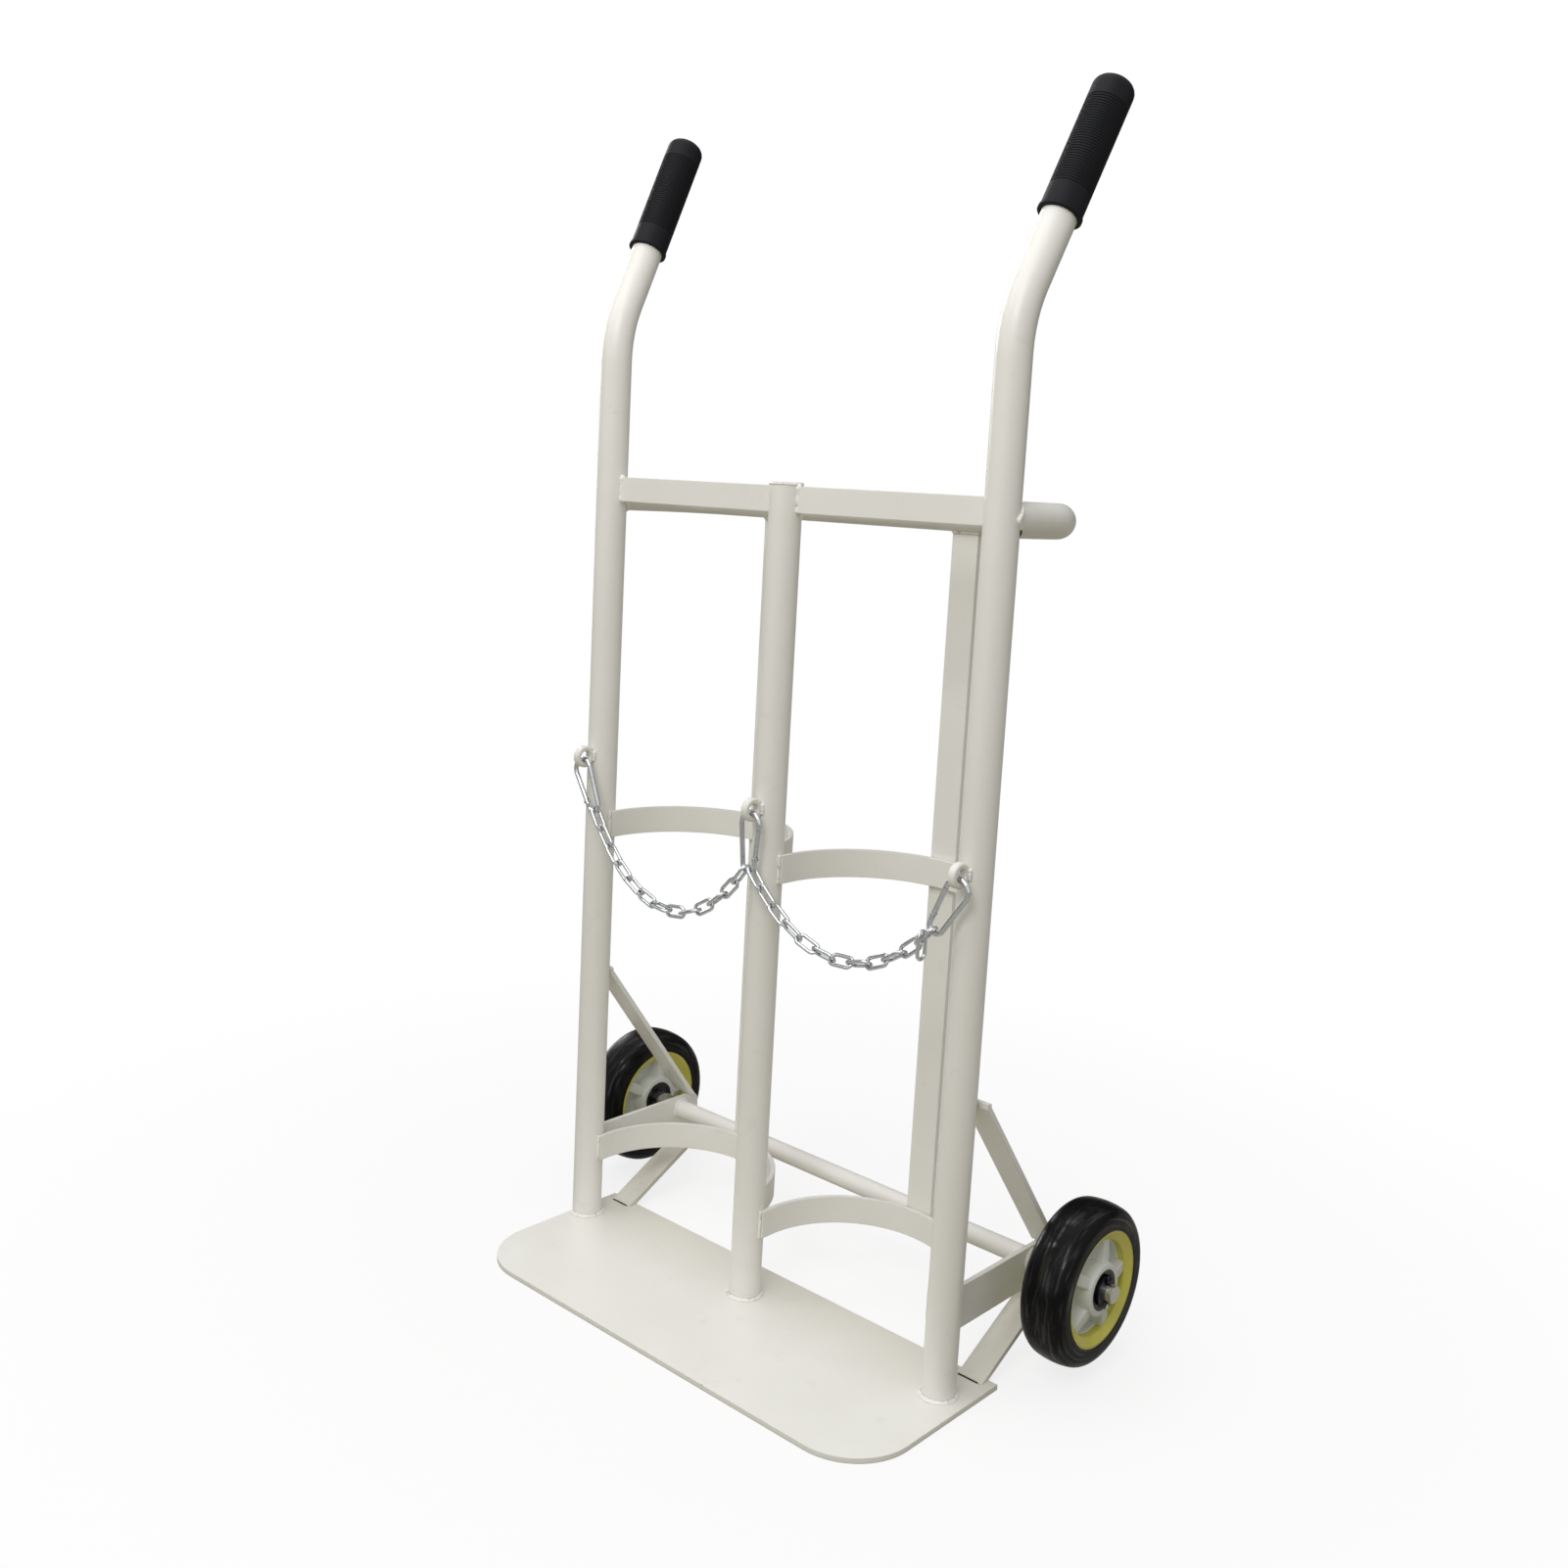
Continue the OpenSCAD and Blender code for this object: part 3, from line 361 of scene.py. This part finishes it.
AXLE_Y, AXLE_Z = middle("axle_rod")[1:]
ARM_Z, STAY_TOP = middle("right_axle_arm")[2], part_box("right_upper_stay")[1][2]
arm_low, arm_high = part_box("right_axle_arm")
ARM_HALF = (arm_high[2] - arm_low[2]) / 2
ARM_BEAD, STAY_BEAD, AXLE_BEAD = [0.0020], [0.0026], [0.0016]
STAY_OUT, STAY_UP, STAY_HALF = 0.0008, 0.0004, 0.0080  # a stay's top bead: out from the post, up, half length
AXLE_BEAD_R, AXLE_PROUD = 0.0104, 0.0007  # ring round the axle tube, and how far outside the arm's face
# The dark line of painted shade at a lower stay's foot: its radius, height, and how far it stops short at left
# and right
LINE_BEAD, LINE_UP, LINE_LEFT, LINE_RIGHT = [0.0008], 0.0004, 0.001, 0.004

thin_enamel = ivory_enamel("ivory_enamel_thin", ("#DAD7CB", "#E4E1D6"), 0.4, (14, 0.56, 0.45, "#A9A492"))
dress(frame_enamel, "left_axle_arm", "right_axle_arm", "left_upper_stay", "right_upper_stay", "axle_tube")
dress(thin_enamel, "left_lower_stay", "right_lower_stay")
arm_runs = []
for x in (-POST_X, POST_X):
    arm_end = ring((x, POST_Y + POST_R + PROUD, ARM_Z), X, Z, (BAR / 2 + PROUD, ARM_HALF + PROUD), BOXY)
    arm_runs.append((arm_end, Y, ARM_BEAD, True))
    y, z = POST_Y + POST_R + STAY_OUT, STAY_TOP + STAY_UP
    arm_runs.append((stroke((x - STAY_HALF, y, z), (x + STAY_HALF, y, z)), Y, STAY_BEAD, False))
    for face in (-BAR / 2 - AXLE_PROUD, BAR / 2 + AXLE_PROUD):
        round_axle = ring((x + face, AXLE_Y, AXLE_Z), Y, Z, (AXLE_BEAD_R, AXLE_BEAD_R))
        arm_runs.append((round_axle, X, AXLE_BEAD, True))
weld("arm_welds", arm_runs, weld_enamel)
# The lower stays only lie on the plate at the front, and a dark line of painted shade marks the gap at the
# joint
foot_lines = []
for side in ("left", "right"):
    low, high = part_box(side + "_lower_stay")
    z = low[2] + LINE_UP
    foot_line = stroke((low[0] + LINE_LEFT, low[1], z), (high[0] - LINE_RIGHT, low[1], z))
    foot_lines.append((foot_line, Y, LINE_BEAD, False))
weld("stay_foot_lines", foot_lines, gap_shade)


# Axle rod, spacers, washers and split pins: bright drawn steel, dull grey sleeves, blackened
# washers and a bent wire through each end of the rod, all wiped with grease.

def bare_metal(name, tones, roughness, grain_mm):
    """Plated, drawn or blackened steel. To the eye: a clear reflection broken by faint stains and dents."""
    material, tree, coords = blank(name)
    stain = add(tree, "TexNoise", "Fac", Vector=coords, Scale=MM / grain_mm, Detail=5.0)
    colour = add(tree, "Mix", "Result", stain, srgb(tones[0]), srgb(tones[1]), data_type="RGBA")
    dull = add(tree, "MapRange", "Result", stain, 0.3, 0.7, *roughness)
    skin = add(tree, "Bump", "Normal", Height=stain, Strength=0.15, Distance=0.0002)
    metal = add(tree, "BsdfPrincipled", "BSDF", Base_Color=colour, Metallic=1.0, Roughness=dull, Normal=skin)
    add(tree, "OutputMaterial", None, metal)
    return material


# Drawn steel is warm and half bright; black oxide keeps only a soft shine on its high spots
drawn_steel = bare_metal("drawn_steel", ("#B4B4B0", "#DAD9D4"), (0.20, 0.36), 5)
black_steel = bare_metal("black_oxide_steel", ("#1E1F22", "#34363A"), (0.30, 0.46), 5)
dress(drawn_steel, "axle_rod", "left_spacer", "right_spacer")
dress(black_steel, "left_washer", "right_washer", "left_split_pin", "right_split_pin")


# Wheels: a moulded black rubber tyre on a yellow rim ring, and a pale moulded hub whose five
# spokes stand between deep pockets. A sealed bearing is pressed into each end of the hub.

def scuffed_rubber(name, axle):
    """Black tyre rubber, run in. To the eye: dusty and polished streaks that lie round the wheel, with
    glints, over shallow creases. The streaks are noise that is fine across the tread and coarse along it."""
    material, tree, coords = blank(name)
    local = add(tree, "VectorMath", "Vector", coords, axle, operation="SUBTRACT")
    around = add(tree, "VectorMath", "Vector", local, (0.0, 1.0, 1.0), operation="MULTIPLY")
    radius = add(tree, "VectorMath", "Value", around, operation="LENGTH")
    width = add(tree, "SeparateXYZ", "X", local)
    across = add(tree, "CombineXYZ", "Vector", width, radius)
    drawn = add(tree, "VectorMath", "Vector", across, (9.0, 9.0, 9.0), around, operation="MULTIPLY_ADD")
    streak = add(tree, "TexNoise", "Fac", Vector=drawn, Scale=MM / 55, Detail=4.0, Roughness=0.6)
    polish = add(tree, "TexNoise", "Fac", Vector=drawn, Scale=MM / 31, Detail=2.0)
    patch = add(tree, "TexNoise", "Fac", Vector=coords, Scale=MM / 24, Detail=5.0, Roughness=0.65)
    lines = add(tree, "MapRange", "Result", streak, 0.48, 0.66)
    places = add(tree, "MapRange", "Result", patch, 0.44, 0.68, 0.0, 0.6)
    dust = add(tree, "Math", "Value", lines, places, operation="MULTIPLY")
    clean = add(tree, "Mix", "Result", patch, srgb("#070709"), srgb("#0E0E10"), data_type="RGBA")
    colour = add(tree, "Mix", "Result", dust, clean, srgb("#34322B"), data_type="RGBA")
    fold = add(tree, "TexNoise", "Fac", Vector=coords, Scale=MM / 16, Detail=3.0)
    crease = add(tree, "Bump", "Normal", Height=fold, Strength=0.40, Distance=0.0012)
    skin = add(tree, "Bump", "Normal", Height=streak, Strength=0.5, Distance=0.0004, Normal=crease)
    dull = add(tree, "MapRange", "Result", dust, 0.0, 0.5, 0.30, 0.62)
    glint = add(tree, "MapRange", "Result", polish, 0.52, 0.68, 0.0, 0.6)
    rubber = add(tree, "BsdfPrincipled", "BSDF", Base_Color=colour, Roughness=dull, Normal=skin,
                 Coat_Normal=skin, Coat_Weight=glint, Coat_Roughness=0.10, Specular_IOR_Level=0.1)
    add(tree, "OutputMaterial", None, rubber)
    return material


def moulded(name, tones, roughness, grain_mm, depth_mm, sheen):
    """Moulded rubber or plastic. To the eye: two close tones in soft patches, and a finely grained skin."""
    material, tree, coords = blank(name)
    patch = add(tree, "TexNoise", "Fac", Vector=coords, Scale=MM / 35, Detail=5.0, Roughness=0.6)
    colour = add(tree, "Mix", "Result", patch, srgb(tones[0]), srgb(tones[1]), data_type="RGBA")
    grain = add(tree, "TexNoise", "Fac", Vector=coords, Scale=MM / grain_mm, Detail=3.0)
    skin = add(tree, "Bump", "Normal", Height=grain, Strength=0.4, Distance=depth_mm / MM)
    dull = add(tree, "MapRange", "Result", patch, 0.3, 0.7, *roughness)
    body = add(tree, "BsdfPrincipled", "BSDF", Base_Color=colour, Roughness=dull, Normal=skin,
               Specular_IOR_Level=sheen)
    add(tree, "OutputMaterial", None, body)
    return material


WHEEL_X = middle("right_tyre")[0]
SPOKES, SPOKE_TURN = 5, math.radians(24)
SPOKE_HALF, SPOKE_DRAFT = 0.0062, 0.0010
COLLAR_R = 0.026  # the spokes start at the collar round the bearing
SHARP_EDGE = 55  # degrees between two faces from which an edge of the hub stays sharp
# Grid lines over half a spoke's share of the turn: 0 is the spoke's middle, 1 its top edge, 2 its foot and 3
# the middle of the pocket
GRID_LINES = np.array([0, 0.5, 1, 4 / 3, 5 / 3, 2, 2.25, 2.5, 2.75])
SPOKE_SIDE = [1, 4 / 3, 5 / 3, 2]
# The hub from its bore to the rim, on one side of its middle: radius, height in a pocket, height on a spoke
HUB_PROFILE = np.array([
    (0.0105, 0.0125, 0.0125), (0.0200, 0.0125, 0.0125), (0.0200, 0.0245, 0.0245), (0.0252, 0.0245, 0.0245),
    (0.0260, 0.0237, 0.0237), (0.0264, 0.0080, 0.0215), (0.0275, 0.0064, 0.0210), (0.0300, 0.0060, 0.0206),
    (0.0370, 0.0060, 0.0194), (0.0438, 0.0062, 0.0182), (0.0444, 0.0072, 0.0181), (0.0448, 0.0112, 0.0180),
    (0.0452, 0.0117, 0.0179), (0.0469, 0.0117, 0.0177)])


def spoked_hub(hand):
    """A hub as one closed grid: a profile that runs from the bore over one face to the rim and back over the
    other, carried round the axle. Its height moves from the pocket's to the spoke's across each spoke's
    sides, which are parallel, so the turn of a grid line follows from the spoke's half width and the
    radius."""
    outer = HUB_PROFILE
    inner = HUB_PROFILE[::-1] * (1, -1, -1)
    r, pocket, spoke = np.concatenate([outer, inner]).T[:, :, None]
    step = np.concatenate([-GRID_LINES[:0:-1], GRID_LINES, [3.0]])
    t = np.abs(step)
    reach = np.maximum(r, COLLAR_R)
    top, foot = np.arcsin((SPOKE_HALF - SPOKE_DRAFT) / reach), np.arcsin((SPOKE_HALF + SPOKE_DRAFT) / reach)
    down = np.interp(t, SPOKE_SIDE, [0, 0.25, 0.6, 1.0])
    swing = np.clip(t, 0, 1) * top + down * (foot - top) + np.clip(t - 2, 0, 1) * (np.pi / SPOKES - foot)
    swing = np.sign(step) * swing
    level = np.interp(t, SPOKE_SIDE, [1, 0.95, 0.05, 0])
    height = pocket + (spoke - pocket) * level
    starts = SPOKE_TURN + 2 * np.pi / SPOKES * np.arange(SPOKES)
    turn = (starts[None, :, None] + swing[:, None, :]).reshape(len(r), -1)
    height = np.tile(height, (1, SPOKES))
    y, z = AXLE_Y + r * np.sin(turn), AXLE_Z - r * np.cos(turn)
    points = np.stack([hand * (WHEEL_X + height), y, z], axis=-1)
    rows, columns = turn.shape
    i, j = np.meshgrid(np.arange(rows), np.arange(columns), indexing="ij")
    i2, j2 = (i + 1) % rows, (j + 1) % columns
    quads = np.stack([i * columns + j, i2 * columns + j, i2 * columns + j2, i * columns + j2], axis=-1)
    return points.reshape(-1, 3), quads.reshape(-1, 4)[:, ::hand]


# Rim and hub are taken to be polypropylene, coloured through, so they stay clean but dull. A bearing's seal is
# nitrile rubber, black and shiny with grease
rim_plastic = moulded("yellow_polypropylene", ("#BDB63C", "#DFD86C"), (0.30, 0.45), 3, 0.2, 0.5)
hub_plastic = moulded("pale_polypropylene", ("#C8CBC4", "#E2E4DE"), (0.35, 0.50), 3, 0.2, 0.5)
bearing_seal = moulded("nitrile_rubber_seal", ("#0B0B0D", "#18181B"), (0.15, 0.30), 3, 0.1, 0.3)
for side, hand in (("left", -1), ("right", 1)):
    dress(scuffed_rubber(side + "_tyre_rubber", (hand * WHEEL_X, AXLE_Y, AXLE_Z)), side + "_tyre")
    dress(rim_plastic, side + "_rim")
    dress(bearing_seal, side + "_inner_bearing", side + "_outer_bearing")
    points, quads = spoked_hub(hand)
    hub = piece(side + "_spoked_hub", points, quads.tolist(), hub_plastic, side + "_wheel")
    hub.data.set_sharp_from_angle(angle=math.radians(SHARP_EDGE))
    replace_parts(hub, side + "_hub")


# Grips: sleeves of soft black rubber, moulded with ribs between two smooth bands and a closed
# end, and pushed over the ends of the handles, where they hold by their own grip.

# Soft rubber swallows light: nearly black, with a faint broad sheen on the ribs
grip_rubber = moulded("grip_rubber", ("#0B0B0F", "#14151A"), (0.50, 0.64), 1.5, 0.15, 0.16)
dress(grip_rubber, "left_grip", "right_grip")


# Hooks, gates and chain: bent and welded wire, bright zinc plated after forming. The hooks
# hang in the eyes, the gates are riveted into them, and the chain's links run through each other.

# Zinc plate is a pale, nearly clear mirror, so the wire shows a bright core and dark edges
zinc_plate = bare_metal("zinc_plate", ("#B2B5BA", "#DBDEE1"), (0.05, 0.16), 4)
for place in ("left", "centre", "right"):
    dress(zinc_plate, place + "_hook", place + "_gate", place + "_rivet")
dress(zinc_plate, "left_chain", "right_chain")


# Studio: a pale floor that keeps the shadow close to the wheels and fades to white further
# out, a white surround, a bright room in front for what mirrors it, and three soft lamps.

FLOOR_HALF = 30.0
SHADE_R, WHITE_R = 0.35, 1.1  # the floor keeps its shadow inside the first radius and is white past the second

corners = FLOOR_HALF * np.array([[-1, -1, 0], [1, -1, 0], [1, 1, 0], [-1, 1, 0]], float)
floor_mesh = bpy.data.meshes.new("floor")
floor_mesh.from_pydata(corners.tolist(), [], [[0, 1, 2, 3]])
floor = bpy.data.objects.new("floor", floor_mesh)
bpy.context.scene.collection.objects.link(floor)
# Matt paint that the camera sees as nearly white; it throws little light back up, so undersides stay dark
floor_paint, tree, coords = blank("pale_floor")
seen = add(tree, "LightPath", "Is Camera Ray")
mirrored = add(tree, "LightPath", "Is Glossy Ray")
distance = add(tree, "VectorMath", "Value", coords, operation="LENGTH")
fade = add(tree, "MapRange", "Result", distance, SHADE_R, WHITE_R, 0.80, 1.0)
white_share = add(tree, "Math", "Value", fade, seen, operation="MULTIPLY")
mirror_share = add(tree, "Math", "Value", mirrored, 0.30, operation="MULTIPLY")
share = add(tree, "Math", "Value", white_share, mirror_share, operation="MAXIMUM")
paint = add(tree, "Mix", "Result", seen, srgb("#97927E"), srgb("#F4F4F3"), data_type="RGBA")
matt = add(tree, "BsdfDiffuse", "BSDF", Color=paint)
glow = add(tree, "Emission", "Emission", Color=srgb("#FFFFFF"), Strength=1.0)
add(tree, "OutputMaterial", None, add(tree, "MixShader", "Shader", share, matt, glow))
floor_mesh.materials.append(floor_paint)

world = bpy.data.worlds.new("white_surround")
bpy.context.scene.world = world
world.use_nodes = True
tree = world.node_tree
tree.nodes.clear()
direction = add(tree, "TexCoord", "Generated")
# 1 towards the lit room in front and its ceiling, -1 towards what lies behind the trolley
front = add(tree, "VectorMath", "Value", direction, (0.50, -0.57, 0.65), operation="DOT_PRODUCT")
soft = add(tree, "MapRange", "Result", front, -0.8, 0.8, 0.55, 0.49)
# Wire and rubber mirror a bright room with dark edges, and one window at the left
room = add(tree, "MapRange", "Result", front, -0.15, 0.45, 0.04, 1.0)
aside = add(tree, "VectorMath", "Value", direction, (-0.93, 0.22, 0.30), operation="DOT_PRODUCT")
window = add(tree, "MapRange", "Result", aside, 0.95, 0.98, 0.0, 6.0)
mirrored = add(tree, "Math", "Value", room, window, operation="MAXIMUM")
glossy = add(tree, "LightPath", "Is Glossy Ray")
clear = add(tree, "LightPath", "Is Transmission Ray")
mirror_ray = add(tree, "Math", "Value", glossy, clear, operation="MAXIMUM")
lit = add(tree, "Mix", "Result", mirror_ray, soft, mirrored, data_type="FLOAT")
seen = add(tree, "LightPath", "Is Camera Ray")
level = add(tree, "Mix", "Result", seen, lit, 1.0, data_type="FLOAT")
sky = add(tree, "Background", "Background", Color=srgb("#FFFFFF"), Strength=level)
add(tree, "OutputWorld", None, sky)


def lamp(name, place, target, size, watts):
    """A soft box of that width and depth at place, turned towards target."""
    data = bpy.data.lights.new(name, "AREA")
    data.shape = "RECTANGLE"
    data.size, data.size_y = size
    data.energy = watts
    thing = bpy.data.objects.new(name, data)
    bpy.context.scene.collection.objects.link(thing)
    back = np.array(place) - np.array(target)
    back /= np.linalg.norm(back)
    side = np.cross([0.0, 1.0, 0.2], back)
    side /= np.linalg.norm(side)
    up = np.cross(back, side)
    thing.matrix_world = Matrix([[side[i], up[i], back[i], place[i]] for i in range(3)] + [[0, 0, 0, 1]])


lamp("overhead", (-0.4, -0.2, 2.8), (0.0, 0.0, 0.5), (2.0, 2.0), 16)
lamp("tube", (-0.5, -0.9, 1.9), (0.0, 0.0, 0.9), (1.3, 0.10), 3.2)
lamp("front", (0.75, -1.9, 2.3), (0.0, 0.0, 0.6), (1.2, 1.2), 25)


# Camera: its place, turns, focal length and image centre come from fitting the frame's edges in the
# photograph, which is 1601 points square. The turns are in radians, the rest in metres and points.

IMAGE = 1601
YAW, PITCH, ROLL = -0.7206, 0.1536, -0.0546
FOCAL, MIDDLE = 1592.6, (817.42, 746.98)
EYE = (1.00757, -1.14303, 0.82358)
ahead = np.array([math.sin(YAW) * math.cos(PITCH), math.cos(YAW) * math.cos(PITCH), -math.sin(PITCH)])
right = np.array([math.cos(YAW), -math.sin(YAW), 0.0])
down = np.cross(ahead, right)
turned_right = math.cos(ROLL) * right + math.sin(ROLL) * down
turned_down = math.cos(ROLL) * down - math.sin(ROLL) * right
lens = bpy.data.cameras.new("camera")
lens.sensor_width = 36.0
lens.lens = FOCAL / IMAGE * lens.sensor_width
lens.shift_x = (IMAGE / 2 - MIDDLE[0]) / IMAGE
lens.shift_y = (MIDDLE[1] - IMAGE / 2) / IMAGE
camera = bpy.data.objects.new("camera", lens)
bpy.context.scene.collection.objects.link(camera)
camera.matrix_world = Matrix(
    [[turned_right[i], -turned_down[i], -ahead[i], EYE[i]] for i in range(3)] + [[0, 0, 0, 1]])
bpy.context.scene.camera = camera
bpy.context.scene.view_settings.view_transform = "Standard"
